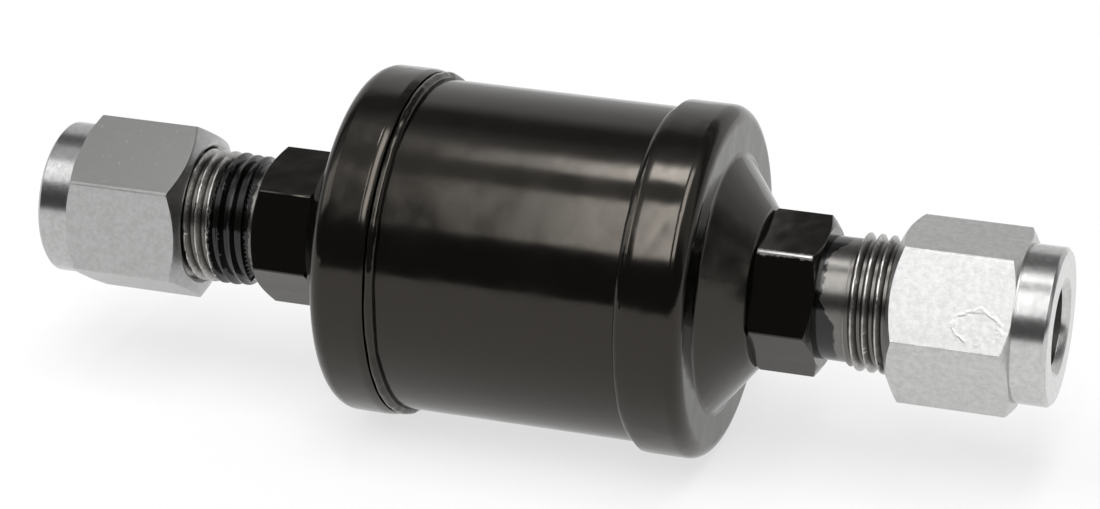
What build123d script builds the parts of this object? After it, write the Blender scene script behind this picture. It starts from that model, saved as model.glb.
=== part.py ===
from build123d import *
import math
import os

# Filter drier for a refrigerant liquid line, with 3/8 in flare connections at both ends.
# Millimetres. The origin is on the axis, midway between the two end caps.
# +X runs along the axis towards the outlet, +Z is up.

# ---------------------------------------------------------------- driving sizes

# Shell: the plain steel tube between the end caps
shell_diameter = 39.2
shell_wall = 1.5
exposed_shell_length = 30.6

# End caps: drawn steel cups that lap over the shell's ends
cap_wall = 1.0
cap_lap = 5.0
lap_clearance = 0.02
shoulder_inside_radius = 1.0
valley_outside_radius = 1.2
crown_inside_radius = 0.4
cone_base_inside_diameter = 29.6
crown_inside_diameter = 17.7
cone_height = 4.6

# Lap welds: fillets between a skirt's edge and the shell
inlet_weld_leg = 0.8
outlet_weld_leg = 0.5

# Flare fittings: turned from hexagon bar, brazed into the crowns
fitting_hex_flats = 16.3
fitting_hex_corners = 18.7
fitting_hex_length = 7.3
hex_chamfer_angle = 30.0
fitting_hex_seat_diameter = 17.9
fitting_hex_end_diameter = 16.2
inlet_fitting_hex_turn = 47.0
outlet_fitting_hex_turn = 9.0
shank_diameter = 12.0
shank_projection = 1.5
shank_clearance = 0.03
fitting_bore_diameter = 7.2
neck_length = 3.1
neck_diameter = 14.3
braze_leg = 0.8

# Thread: 5/8-18 UNF, with the 45 degree flare nose beyond it
thread_major_diameter = 15.875
thread_pitch = 25.4 / 18
thread_length = 13.0
thread_end_chamfer = 0.5
nose_base_diameter = 14.0
nose_tip_diameter = 8.6

# Flare nuts: hexagon with a turned collar, for 3/8 in tube
nut_hex_flats = 19.05
nut_hex_corners = 21.8
nut_hex_length = 14.3
nut_inner_end_diameter = 17.5
nut_outer_end_diameter = 19.4
nut_collar_diameter = 18.2
nut_collar_length = 4.1
nut_collar_edge = 0.4
nut_thread_depth = 10.3
nut_seat_diameter = 15.2
nut_entry_chamfer = 0.4
nut_bore_diameter = 9.7
nut_mouth_diameter = 11.4
nut_running_clearance = 0.06
inlet_nut_turns_open = 1.65
outlet_nut_turns_open = 1.30
inlet_nut_hex_turn = 33.0
outlet_nut_hex_turn = -2.0

# Seal bonnets: copper caps between each nut's seat and the flare nose
bonnet_thickness = 0.8
bonnet_rim_diameter = 14.2
bonnet_crown_diameter = 9.2
bonnet_clearance = 0.1

# Desiccant core and what holds it
core_side_gap = 2.5
core_length = 27.6
core_edge_chamfer = 1.5
core_cavity_diameter = 10.0
core_cavity_depth = 19.0
seal_ring_width = 3.0
inner_fit_clearance = 0.05
pad_thickness = 3.0
screen_thickness = 0.3
support_plate_thickness = 0.8
support_hole_diameter = 2.6
support_hole_pitch = 5.2
support_hole_rings = 2
seat_clearance = 0.05

# Conical spring and the plate it presses on the core
spring_plate_diameter = 26.0
spring_plate_thickness = 0.8
spring_plate_hole_diameter = 3.4
spring_plate_hole_circle = 20.4
spring_plate_holes = 8
spring_plate_lip_height = 1.2
spring_wire = 1.5
spring_half_turns = 4
spring_side_gap = 1.05
spring_lip_clearance = 0.2

# ---------------------------------------------------------------- worked-out sizes

shell_radius = shell_diameter / 2
shell_inner_radius = shell_radius - shell_wall
skirt_edge_x = exposed_shell_length / 2
shell_end_x = skirt_edge_x + cap_lap
skirt_inner_radius = shell_radius + lap_clearance
cap_inner_face_x = shell_end_x + support_plate_thickness + 2 * seat_clearance
crown_inner_x = cap_inner_face_x + cone_height
crown_x = crown_inner_x + cap_wall
shank_radius = shank_diameter / 2

hex_end_x = crown_x + fitting_hex_length
thread_start_x = hex_end_x + neck_length
thread_end_x = thread_start_x + thread_length
thread_radius = thread_major_diameter / 2
nose_tip_x = thread_end_x + (nose_base_diameter - nose_tip_diameter) / 2

nut_length = nut_hex_length + nut_collar_length
nut_bore_radius = nut_bore_diameter / 2
seat_end_depth = nut_thread_depth + (nut_seat_diameter - nut_bore_diameter) / 2
# where the nut's inner face stands when its seat has closed the bonnet on the nose
cone_stack = bonnet_thickness * math.sqrt(2) + 2 * bonnet_clearance
nose_x_at_bore = thread_end_x + (nose_base_diameter - nut_bore_diameter) / 2
nut_tight_x = nose_x_at_bore + cone_stack - seat_end_depth
inlet_nut_x = nut_tight_x + inlet_nut_turns_open * thread_pitch
outlet_nut_x = nut_tight_x + outlet_nut_turns_open * thread_pitch

core_radius = shell_inner_radius - core_side_gap
pad_end_x = shell_end_x - screen_thickness
core_end_x = pad_end_x - pad_thickness
core_start_x = core_end_x - core_length
spring_plate_x = core_start_x - spring_plate_thickness


# ---------------------------------------------------------------- helpers

def revolved(points):
    """Solid of revolution about the X axis of a closed outline of (x, radius) points."""
    return revolve(make_face(Polyline(*points, close=True)), Axis.X)


def ring(x_start, x_end, outer_radius, inner_radius):
    """Plain ring about the X axis between two stations."""
    return revolved([
        (x_start, inner_radius),
        (x_end, inner_radius),
        (x_end, outer_radius),
        (x_start, outer_radius),
    ])


def disc(x_start, x_end, radius):
    """Plain disc about the X axis between two stations."""
    return ring(x_start, x_end, radius, 0)


def circle_of_spots(radius, count):
    """(y, z) centres evenly spaced on a circle about the axis."""
    turns = [2 * math.pi * step / count for step in range(count)]
    return [(radius * math.cos(turn), radius * math.sin(turn)) for turn in turns]


def drilled(plate, x_start, thickness, diameter, spots):
    """The plate with a round hole along X at each (y, z) spot."""
    drill = disc(x_start, x_start + thickness, diameter / 2)
    return plate - [Pos(Y=y, Z=z) * drill for y, z in spots]


def turned_hexagon(flats, corners, length, start_diameter, end_diameter):
    """Hexagon bar from x = 0 to its length, corners turned down, both ends chamfered."""
    bar = extrude(Plane.YZ * RegularPolygon(flats / 2, 6, major_radius=False), length)
    slope = math.tan(math.radians(hex_chamfer_angle))
    start_chamfer = (corners - start_diameter) / 2 * slope
    end_chamfer = (corners - end_diameter) / 2 * slope
    envelope = revolved([
        (0, 0),
        (0, start_diameter / 2),
        (start_chamfer, corners / 2),
        (length - end_chamfer, corners / 2),
        (length, end_diameter / 2),
        (length, 0),
    ])
    return bar & envelope


def at_outlet(shape):
    """Parts are drawn pointing to the outlet, so there they stay as drawn."""
    return shape


def at_inlet(shape):
    """The same part at the other end, turned half round about the Z axis."""
    return Rot(Z=180) * shape


# ---------------------------------------------------------------- shell and end caps

def shell():
    return ring(-shell_end_x, shell_end_x, shell_radius, shell_inner_radius)


def end_cap():
    """Drawn cup: skirt, shoulder, flat ring, valley, cone and a pierced crown."""
    inside = FilletPolyline(
        (skirt_edge_x, skirt_inner_radius),
        (cap_inner_face_x, skirt_inner_radius),
        (cap_inner_face_x, cone_base_inside_diameter / 2),
        (crown_inner_x, crown_inside_diameter / 2),
        (crown_inner_x, shank_radius + shank_clearance),
        radius=[shoulder_inside_radius, valley_outside_radius + cap_wall, crown_inside_radius],
    )
    section = make_face(offset(inside, amount=cap_wall, side=Side.LEFT))
    return revolve(section, Axis.X)


def lap_weld(leg):
    """Fillet of weld in the corner between a skirt's edge and the shell."""
    return revolved([
        (skirt_edge_x - leg, skirt_inner_radius),
        (skirt_edge_x, skirt_inner_radius),
        (skirt_edge_x, skirt_inner_radius + leg),
    ])


# ---------------------------------------------------------------- flare fittings

def flare_fitting(hex_turn):
    """Shank, hexagon, relief neck, thread at its major diameter and 45 degree flare nose."""
    shank_start_x = crown_inner_x - shank_projection
    neck_radius = neck_diameter / 2
    turned = revolved([
        (shank_start_x, 0),
        (shank_start_x, shank_radius),
        (crown_x, shank_radius),
        (crown_x, neck_radius),
        (thread_start_x, neck_radius),
        (thread_start_x + thread_radius - neck_radius, thread_radius),
        (thread_end_x - thread_end_chamfer, thread_radius),
        (thread_end_x, thread_radius - thread_end_chamfer),
        (thread_end_x, nose_base_diameter / 2),
        (nose_tip_x, nose_tip_diameter / 2),
        (nose_tip_x, 0),
    ])
    hexagon = turned_hexagon(
        fitting_hex_flats, fitting_hex_corners, fitting_hex_length,
        fitting_hex_seat_diameter, fitting_hex_end_diameter,
    )
    hexagon = Pos(X=crown_x) * Rot(X=hex_turn) * hexagon
    through_bore = disc(shank_start_x - 1, nose_tip_x + 1, fitting_bore_diameter / 2)
    return turned + hexagon - through_bore


def fitting_braze():
    """Ring of braze filler round the shank, inside the crown."""
    return revolved([
        (crown_inner_x - braze_leg, shank_radius),
        (crown_inner_x, shank_radius),
        (crown_inner_x, shank_radius + shank_clearance + braze_leg),
    ])


# ---------------------------------------------------------------- flare nuts and seal bonnets

def flare_nut(inner_face_x, hex_turn):
    """Hexagon nut with collar, thread bore, 45 degree seat, tube bore and countersunk mouth."""
    hexagon = turned_hexagon(
        nut_hex_flats, nut_hex_corners, nut_hex_length,
        nut_inner_end_diameter, nut_outer_end_diameter,
    )
    collar_radius = nut_collar_diameter / 2
    collar = revolved([
        (nut_hex_length, 0),
        (nut_hex_length, collar_radius),
        (nut_length - nut_collar_edge, collar_radius),
        (nut_length, collar_radius - nut_collar_edge),
        (nut_length, 0),
    ])
    thread_bore_radius = thread_radius + nut_running_clearance
    mouth_depth = (nut_mouth_diameter - nut_bore_diameter) / 2
    inside = revolved([
        (0, 0),
        (0, thread_bore_radius + nut_entry_chamfer),
        (nut_entry_chamfer, thread_bore_radius),
        (nut_thread_depth, thread_bore_radius),
        (nut_thread_depth, nut_seat_diameter / 2),
        (seat_end_depth, nut_bore_radius),
        (nut_length - mouth_depth, nut_bore_radius),
        (nut_length, nut_mouth_diameter / 2),
        (nut_length, 0),
    ])
    return Pos(X=inner_face_x) * Rot(X=hex_turn) * (hexagon + collar - inside)


def seal_bonnet(nut_inner_face_x):
    """Pressed copper cap: a 45 degree flare with a closed crown, lying in the nut's seat."""
    axial_thickness = bonnet_thickness * math.sqrt(2)
    seat_x = nut_inner_face_x + seat_end_depth + nut_bore_radius - bonnet_clearance
    rim_radius = bonnet_rim_diameter / 2
    crown_radius = bonnet_crown_diameter / 2
    crown_face_x = seat_x - crown_radius
    crown_back_x = crown_face_x - bonnet_thickness
    return revolved([
        (crown_back_x, 0),
        (crown_back_x, seat_x - axial_thickness - crown_back_x),
        (seat_x - axial_thickness - rim_radius, rim_radius),
        (seat_x - rim_radius, rim_radius),
        (crown_face_x, crown_radius),
        (crown_face_x, 0),
    ])


# ---------------------------------------------------------------- core, pad, screen and plates

def desiccant_core():
    """Moulded block with broken edges and a blind cavity open to the outlet."""
    block = revolved([
        (core_start_x, 0),
        (core_start_x, core_radius - core_edge_chamfer),
        (core_start_x + core_edge_chamfer, core_radius),
        (core_end_x, core_radius),
        (core_end_x, 0),
    ])
    cavity_radius = core_cavity_diameter / 2
    cavity_floor_x = core_end_x - core_cavity_depth
    cavity = revolved([
        (cavity_floor_x - cavity_radius, 0),
        (cavity_floor_x, cavity_radius),
        (core_end_x, cavity_radius),
        (core_end_x, 0),
    ])
    return block - cavity


def core_seal_ring():
    """Felt ring that closes the gap between the core and the shell at the outlet end."""
    outer_radius = shell_inner_radius - inner_fit_clearance
    inner_radius = core_radius + inner_fit_clearance
    return ring(core_end_x - seal_ring_width, core_end_x, outer_radius, inner_radius)


def filter_pad():
    return disc(core_end_x, pad_end_x, shell_inner_radius - inner_fit_clearance)


def outlet_screen():
    return disc(pad_end_x, shell_end_x, shell_inner_radius - inner_fit_clearance)


def support_plate():
    """Perforated plate, its rim trapped between the shell's end and the outlet cap."""
    plate_x = shell_end_x + seat_clearance
    rim_radius = skirt_inner_radius - shoulder_inside_radius - inner_fit_clearance
    plate = disc(plate_x, plate_x + support_plate_thickness, rim_radius)
    spots = [(0, 0)]
    for ring_number in range(1, support_hole_rings + 1):
        spots += circle_of_spots(ring_number * support_hole_pitch, 6 * ring_number)
    return drilled(plate, plate_x, support_plate_thickness, support_hole_diameter, spots)


# ---------------------------------------------------------------- spring and its plate

def spring_seat_radius():
    """Mean radius of the spring's small end, round the plate's lip."""
    innermost_hole = (spring_plate_hole_circle - spring_plate_hole_diameter) / 2
    return innermost_hole - spring_lip_clearance - spring_wire / 2


def spring_plate():
    """Pressed plate with a centring lip for the spring and a circle of flow holes."""
    plate = disc(spring_plate_x, core_start_x, spring_plate_diameter / 2)
    lip_radius = spring_seat_radius() - spring_wire / 2 - spring_lip_clearance
    lip_start_x = spring_plate_x - spring_plate_lip_height
    lip = ring(lip_start_x, spring_plate_x, lip_radius, lip_radius - spring_plate_thickness)
    spots = circle_of_spots(spring_plate_hole_circle / 2, spring_plate_holes)
    pierced = drilled(plate, spring_plate_x, spring_plate_thickness, spring_plate_hole_diameter, spots)
    return pierced + lip


def core_spring():
    """Conical wire spring from the inlet cap's flat ring to the spring plate.

    It is a chain of flat half turns, each leaning so that it meets the next one in line.
    """
    wire_radius = spring_wire / 2
    start_x = -cap_inner_face_x + seat_clearance + wire_radius
    rise = (spring_plate_x - seat_clearance - wire_radius - start_x) / spring_half_turns
    large_radius = shell_inner_radius - spring_side_gap - wire_radius
    shrink = (large_radius - spring_seat_radius()) / spring_half_turns

    def joint(step):
        side = (-1) ** step
        return Vector(start_x + step * rise, side * (large_radius - step * shrink), 0)

    half_turns = []
    for step in range(spring_half_turns):
        chord = joint(step + 1) - joint(step)
        forward = Vector(0, 0, (-1) ** step)
        middle = (joint(step) + joint(step + 1)) / 2
        section = Plane(joint(step), x_dir=chord, z_dir=forward) * Circle(wire_radius)
        half_turns.append(revolve(section, Axis(middle, chord.cross(forward)), 180))
    return half_turns[0] + half_turns[1:]


# ---------------------------------------------------------------- build

def build_parts():
    return {
        "shell": shell(),
        "inlet_end_cap": at_inlet(end_cap()),
        "outlet_end_cap": at_outlet(end_cap()),
        "inlet_lap_weld": at_inlet(lap_weld(inlet_weld_leg)),
        "outlet_lap_weld": at_outlet(lap_weld(outlet_weld_leg)),
        "inlet_fitting": at_inlet(flare_fitting(inlet_fitting_hex_turn)),
        "outlet_fitting": at_outlet(flare_fitting(outlet_fitting_hex_turn)),
        "inlet_fitting_braze": at_inlet(fitting_braze()),
        "outlet_fitting_braze": at_outlet(fitting_braze()),
        "inlet_nut": at_inlet(flare_nut(inlet_nut_x, inlet_nut_hex_turn)),
        "outlet_nut": at_outlet(flare_nut(outlet_nut_x, outlet_nut_hex_turn)),
        "inlet_seal_bonnet": at_inlet(seal_bonnet(inlet_nut_x)),
        "outlet_seal_bonnet": at_outlet(seal_bonnet(outlet_nut_x)),
        "desiccant_core": desiccant_core(),
        "core_seal_ring": core_seal_ring(),
        "filter_pad": filter_pad(),
        "outlet_screen": outlet_screen(),
        "support_plate": support_plate(),
        "spring_plate": spring_plate(),
        "core_spring": core_spring(),
    }


os.makedirs("parts", exist_ok=True)
for node, solid in build_parts().items():
    export_step(solid, f"parts/{node}.step")
    print(node)
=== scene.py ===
# %% [markdown]
# # A filter drier in black enamel
# A filter drier sits in the liquid line of a refrigeration circuit. It is a steel can full of
# desiccant, with a flare fitting and a flare nut at each end. The construction model already gives
# every piece its real size and place. This lesson gives those pieces their looks: real screw
# threads, weld beads, the soft edges that paint and plating leave, and the finishes themselves.
#
# The first line loads the construction model as a fixed frame. Everything is in metres. `MM` turns
# the sizes that a maker would write on a drawing into metres.

# %% The frame
import math

import bmesh
import bpy
from mathutils import Matrix, Vector, noise


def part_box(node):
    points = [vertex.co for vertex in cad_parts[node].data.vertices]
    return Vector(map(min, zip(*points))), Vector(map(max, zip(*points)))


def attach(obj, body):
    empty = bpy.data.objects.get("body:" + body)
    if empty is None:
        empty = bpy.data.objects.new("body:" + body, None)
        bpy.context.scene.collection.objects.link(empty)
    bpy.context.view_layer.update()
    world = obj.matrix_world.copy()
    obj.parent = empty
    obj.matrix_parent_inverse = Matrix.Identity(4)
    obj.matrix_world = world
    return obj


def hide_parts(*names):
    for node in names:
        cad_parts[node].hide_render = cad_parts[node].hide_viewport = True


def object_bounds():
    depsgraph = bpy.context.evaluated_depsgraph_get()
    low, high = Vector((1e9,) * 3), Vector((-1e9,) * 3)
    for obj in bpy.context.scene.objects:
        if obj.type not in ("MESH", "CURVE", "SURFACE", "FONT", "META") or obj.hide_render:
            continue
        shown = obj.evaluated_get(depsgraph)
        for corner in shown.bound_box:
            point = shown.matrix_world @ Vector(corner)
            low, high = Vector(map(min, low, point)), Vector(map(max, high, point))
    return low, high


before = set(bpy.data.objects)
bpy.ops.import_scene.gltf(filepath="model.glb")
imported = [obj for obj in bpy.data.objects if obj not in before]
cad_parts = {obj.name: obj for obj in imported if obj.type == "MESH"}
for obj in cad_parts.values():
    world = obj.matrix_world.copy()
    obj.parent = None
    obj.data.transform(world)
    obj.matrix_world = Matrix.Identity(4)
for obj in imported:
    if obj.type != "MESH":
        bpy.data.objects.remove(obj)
cad_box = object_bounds()
MM = 0.001
print("construction nodes:", len(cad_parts))

# %% [markdown]
# ## Helpers
# Colours are written as sRGB hex values, as a paint chart gives them, but shaders work in linear
# light, so one function converts them. The next two fill a node's inputs and add a node to any
# tree: shader or geometry. Inputs come as a dictionary, and each is a plain value or another node's
# output. The last builds a window: paint ends, and a softbox ends, but never in a hard line.

# %% Colour, node and window helpers
def linear(hex_colour):
    """Linear RGBA of an sRGB hex colour such as #d8d8d4."""
    channels = [int(hex_colour[place:place + 2], 16) / 255 for place in (1, 3, 5)]
    curve = [c / 12.92 if c <= 0.04045 else ((c + 0.055) / 1.055) ** 2.4 for c in channels]
    return (*curve, 1.0)


def set_inputs(tree, node, inputs):
    """Set each named input to a plain value, or link it to another node's output."""
    for key, value in inputs.items():
        if isinstance(value, bpy.types.NodeSocket):
            tree.links.new(value, node.inputs[key])
        else:
            node.inputs[key].default_value = value


def add_node(tree, kind, inputs=None, **settings):
    """Add a node, set its properties, then its inputs."""
    node = tree.nodes.new(kind)
    for name, value in settings.items():
        setattr(node, name, value)
    set_inputs(tree, node, inputs or {})
    return node


def window(tree, value, start, full, fading, end, curve="SMOOTHSTEP"):
    """1 where the value is between full and fading, 0 outside start and end, a slope between."""
    rise = add_node(tree, "ShaderNodeMapRange", {
        "Value": value, "From Min": start, "From Max": full,
    }, interpolation_type=curve).outputs[0]
    fall = add_node(tree, "ShaderNodeMapRange", {
        "Value": value, "From Min": fading, "From Max": end, "To Min": 1.0, "To Max": 0.0,
    }, interpolation_type=curve).outputs[0]
    return add_node(tree, "ShaderNodeMath", {0: rise, 1: fall}, operation="MULTIPLY").outputs[0]


print("mid grey #808080 is", round(linear("#808080")[0], 3), "in linear light")

# %% [markdown]
# ## Where patterns live
# A pattern could be laid on a piece by unwrapping it, but turned and drawn pieces have no natural
# unwrapping. So every pattern is drawn in object coordinates, scaled to millimetres: a scale of 2
# means two features to the millimetre. A piece keeps its pattern when it moves, because the
# coordinates move with it. Nearly all patterns start from a noise, which seldom leaves the middle
# of its range, so that spread is named here.

# %% A material to start from
NOISE_SPREAD = (0.3, 0.7)


def new_finish(name):
    """A material with one Principled shader, and the piece's own coordinates in millimetres."""
    material = bpy.data.materials.new(name)
    material.use_nodes = True
    tree = material.node_tree
    shader = tree.nodes["Principled BSDF"]
    place = add_node(tree, "ShaderNodeTexCoord").outputs["Object"]
    millimetres = add_node(tree, "ShaderNodeVectorMath", {
        0: place, "Scale": 1 / MM,
    }, operation="SCALE").outputs[0]
    return material, tree, shader, millimetres


def axis_places(tree, millimetres):
    """Distance along the axis from the middle of the drier, and distance from the axis."""
    part = add_node(tree, "ShaderNodeSeparateXYZ", {0: millimetres}).outputs
    along = add_node(tree, "ShaderNodeMath", {0: part["X"]}, operation="ABSOLUTE").outputs[0]
    flat = add_node(tree, "ShaderNodeCombineXYZ", {"Y": part["Y"], "Z": part["Z"]}).outputs[0]
    radius = add_node(tree, "ShaderNodeVectorMath", {0: flat}, operation="LENGTH").outputs["Value"]
    return along, radius


print("nearly all of a noise lies between", *NOISE_SPREAD)

# %% [markdown]
# ## Gloss black enamel
# The can, its caps and the fittings' hexagons are sprayed with one coat of black stoving enamel. It
# is a smooth dielectric film, so it hardly scatters light: its looks are all reflection. What tells
# it from plastic or glass is the film's own relief: a fine orange peel about a millimetre across,
# and a slower waviness where the film ran before it set, strongest beside the skirts. Modelled
# relief would need millions of faces for waves this shallow, so both go into the bump, and the
# roughness stays low and nearly even. A warm tint in the reflection is the resin's own.

# %% Enamel
ENAMEL = "#060605"
FILM_TINT = "#fff5e8"
FILM_IOR = 1.5
ORANGE_PEEL_PER_MM, ORANGE_PEEL_MM = 0.9, 0.0015
FILM_WAVES_PER_MM, FILM_WAVE_MM = 0.16, 0.035
RUNS_PER_MM, RUN_MM = 0.30, 0.05
RUNS_START_MM, RUNS_FULL_MM = 13.0, 16.0
HAZE_PER_MM = 0.3
FILM_ROUGHNESS = (0.10, 0.17)


def enamel_relief(tree, millimetres):
    """Normal of the paint film: slow waves, runs near the skirts, and a fine orange peel."""
    near_skirt = add_node(tree, "ShaderNodeMapRange", {
        "Value": axis_places(tree, millimetres)[0], "From Min": RUNS_START_MM,
        "From Max": RUNS_FULL_MM,
    }, interpolation_type="SMOOTHSTEP").outputs[0]
    below = {}
    for per_mm, depth_mm, strength in (
        (FILM_WAVES_PER_MM, FILM_WAVE_MM, 1.0),
        (RUNS_PER_MM, RUN_MM, near_skirt),
        (ORANGE_PEEL_PER_MM, ORANGE_PEEL_MM, 1.0),
    ):
        height = add_node(tree, "ShaderNodeTexNoise", {
            "Vector": millimetres, "Scale": per_mm, "Detail": 1.0, "Roughness": 0.4,
        }).outputs[0]
        bump = add_node(tree, "ShaderNodeBump", {
            "Height": height, "Strength": strength, "Distance": depth_mm * MM,
        } | below)
        below = {"Normal": bump.outputs[0]}
    return bump.outputs[0]


def black_enamel():
    """Enamel on the can: near-black, sharp in its reflections, with a trace of haze."""
    material, tree, shader, millimetres = new_finish("gloss_black_enamel")
    haze = add_node(tree, "ShaderNodeTexNoise", {
        "Vector": millimetres, "Scale": HAZE_PER_MM, "Detail": 3.0,
    })
    roughness = add_node(tree, "ShaderNodeMapRange", {
        "Value": haze.outputs[0], "From Min": NOISE_SPREAD[0], "From Max": NOISE_SPREAD[1],
        "To Min": FILM_ROUGHNESS[0], "To Max": FILM_ROUGHNESS[1],
    }).outputs[0]
    set_inputs(tree, shader, {
        "Base Color": linear(ENAMEL), "Roughness": roughness,
        "Specular Tint": linear(FILM_TINT), "IOR": FILM_IOR,
        "Normal": enamel_relief(tree, millimetres),
    })
    return material


enamel = black_enamel()
print("finish:", enamel.name)

# %% [markdown]
# ## Zinc plated nuts
# The nuts are cut from cold drawn hexagon bar and zinc plated. A plated surface is a metal whose
# tone hardly varies, but its crystals give faint light and dark patches, like frost. A mix of two
# greys by one noise is enough for them. The inlet's nut gets darker greys than the outlet's: that
# is painted shade, not a duller plate.

# %% Zinc tones
# The first pair of greys is the same zinc painted darker, as painted shade on the inlet's nut.
SHADED_ZINC = ("#adadac", "#bababa")
PLAIN_ZINC = ("#bbbbba", "#cacac9")
MOTTLE_PER_MM = 1.4
MOTTLE_EDGES = (0.38, 0.62)


def mottled_zinc_colour(tree, millimetres, shades):
    """Faint light and dark patches of a zinc plate."""
    mottle = add_node(tree, "ShaderNodeTexNoise", {
        "Vector": millimetres, "Scale": MOTTLE_PER_MM, "Detail": 5.0, "Roughness": 0.7,
    }).outputs[0]
    patches = add_node(tree, "ShaderNodeMapRange", {
        "Value": mottle, "From Min": MOTTLE_EDGES[0], "From Max": MOTTLE_EDGES[1],
    }).outputs[0]
    return add_node(tree, "ShaderNodeMix", {
        "Factor": patches, "A": linear(shades[0]), "B": linear(shades[1]),
    }, data_type="RGBA").outputs["Result"]


print("fresh zinc reflects up to", round(linear(PLAIN_ZINC[1])[0], 2))

# %% [markdown]
# ### A shaded flat
# The upper flat of the inlet's nut is painted a darker grey as painted shade, with small specks
# left bright. Its faces could be picked by hand, but a flat of a hexagon lies at a known distance
# from the axis, so a dot product with the flat's direction finds it, whatever the mesh.

# %% Painted shade on one flat
FLAT_MM = 9.525
FLAT_DEPTHS_MM = (FLAT_MM - 0.3, FLAT_MM - 0.05)
# Grey of the painted shade on one flat of the inlet's nut, the flat's side, and its bright specks.
FLAT_SHADE_GREY = "#8d8d8c"
SHADED_FLAT_SIDE = math.radians(63)
SPECKS_PER_MM = 0.9
SPECK_EDGES = (0.62, 0.72)
SPECK_SHADE_SHARE = 0.2


def facing(side):
    """Direction away from the axis, by its angle above the front."""
    return (0.0, -math.cos(side), math.sin(side))


def on_flat(tree, millimetres, side):
    """1 on the nut's flat that faces a side, 0 everywhere below it."""
    depth = add_node(tree, "ShaderNodeVectorMath", {
        0: millimetres, 1: facing(side),
    }, operation="DOT_PRODUCT").outputs["Value"]
    return add_node(tree, "ShaderNodeMapRange", {
        "Value": depth, "From Min": FLAT_DEPTHS_MM[0], "From Max": FLAT_DEPTHS_MM[1],
    }).outputs[0]


def painted_flat_shade(tree, millimetres, amount):
    """The amount of painted shade on the flat, and a fifth of it in the specks."""
    specks = add_node(tree, "ShaderNodeTexNoise", {
        "Vector": millimetres, "Scale": SPECKS_PER_MM, "Detail": 5.0, "Roughness": 0.65,
    }).outputs[0]
    speckled = add_node(tree, "ShaderNodeMapRange", {
        "Value": specks, "From Min": SPECK_EDGES[0], "From Max": SPECK_EDGES[1],
        "To Min": amount, "To Max": SPECK_SHADE_SHARE * amount,
    }).outputs[0]
    return add_node(tree, "ShaderNodeMath", {
        0: on_flat(tree, millimetres, SHADED_FLAT_SIDE), 1: speckled,
    }, operation="MULTIPLY").outputs[0]


print("the nuts' flats lie", FLAT_MM, "mm from the axis")

# %% [markdown]
# ### A scuff from a spanner
# A spanner that slips leaves an oval rim of raised metal. Carved into the mesh it would need a
# dense patch on one flat, and it stands only a fiftieth of a millimetre high, so it is a bump: the
# distance from a centre, measured in the oval's own radii and shaken by noise, gives the rim.

# %% Scuff
SCUFF_CENTRE_MM = (53.0, -2.5)
SCUFF_RADII_MM = (2.6, 1.9)
SCUFFED_SIDE = math.radians(32)
SCUFF_RING = 1.45
SCUFF_RIM = 0.16
SCUFF_WOBBLE, WOBBLES_PER_MM = 0.9, 0.9
BREAKS_PER_MM, BREAK_EDGES = 0.5, (0.42, 0.60)
SCUFF_MM = 0.02


def scuff_height(tree, millimetres):
    """Oval rim on one flat, wobbly and broken."""
    across = (0.0, math.sin(SCUFFED_SIDE), math.cos(SCUFFED_SIDE))
    radii = []
    for direction, centre, radius in zip(((1.0, 0.0, 0.0), across), SCUFF_CENTRE_MM, SCUFF_RADII_MM):
        place = add_node(tree, "ShaderNodeVectorMath", {
            0: millimetres, 1: direction,
        }, operation="DOT_PRODUCT").outputs["Value"]
        radii.append(add_node(tree, "ShaderNodeMapRange", {
            "Value": place, "From Min": centre, "From Max": centre + radius,
        }, clamp=False).outputs[0])
    flat = add_node(tree, "ShaderNodeCombineXYZ", {"X": radii[0], "Y": radii[1]}).outputs[0]
    ring = add_node(tree, "ShaderNodeVectorMath", {0: flat}, operation="LENGTH").outputs["Value"]
    wobble = add_node(tree, "ShaderNodeTexNoise", {
        "Vector": millimetres, "Scale": WOBBLES_PER_MM, "Detail": 4.0,
    }).outputs[0]
    shaken = add_node(tree, "ShaderNodeMath", {
        0: wobble, 1: SCUFF_WOBBLE, 2: ring,
    }, operation="MULTIPLY_ADD").outputs[0]
    rim = window(
        tree, shaken, SCUFF_RING - SCUFF_RIM, SCUFF_RING, SCUFF_RING, SCUFF_RING + SCUFF_RIM, "LINEAR",
    )
    breaks = add_node(tree, "ShaderNodeTexNoise", {
        "Vector": millimetres, "Scale": BREAKS_PER_MM, "Detail": 3.0,
    }).outputs[0]
    unbroken = add_node(tree, "ShaderNodeMapRange", {
        "Value": breaks, "From Min": BREAK_EDGES[0], "From Max": BREAK_EDGES[1],
    }).outputs[0]
    raised = add_node(tree, "ShaderNodeMath", {0: rim, 1: unbroken}, operation="MULTIPLY").outputs[0]
    return add_node(tree, "ShaderNodeMath", {
        0: raised, 1: on_flat(tree, millimetres, SCUFFED_SIDE),
    }, operation="MULTIPLY").outputs[0]


print("scuff:", SCUFF_RADII_MM, "mm, raised by", SCUFF_MM, "mm")

# %% [markdown]
# ### The whole nut in one material
# The flats of drawn bar carry faint marks along the length and look satin. The collar, its chamfer
# and the bore were turned, so they are brighter, and their marks run round the axis. Two materials
# would need the faces sorted, so one asks how far along the axis a point lies: past the collar's
# station it is turned. True plating grain is a few hundredths of a millimetre, too fine to show, so
# it is drawn five to the millimetre, and the turning marks too.

# %% Plated steel
GRAIN_PER_MM = 5.0
TURNING_MARKS_PER_MM = 5.0
DRAW_MARKS_PER_MM = 4.0
DRAW_MARK_STRETCH, TURNING_MARK_STRETCH = 0.12, 0.02
SATIN_ROUGHNESS = (0.28, 0.40)
TURNED_ROUGHNESS = 0.2
MARK_MM = 0.004
DENT_MM = 0.014
NUT_COLLAR_LENGTH = 4.1 * MM


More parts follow.
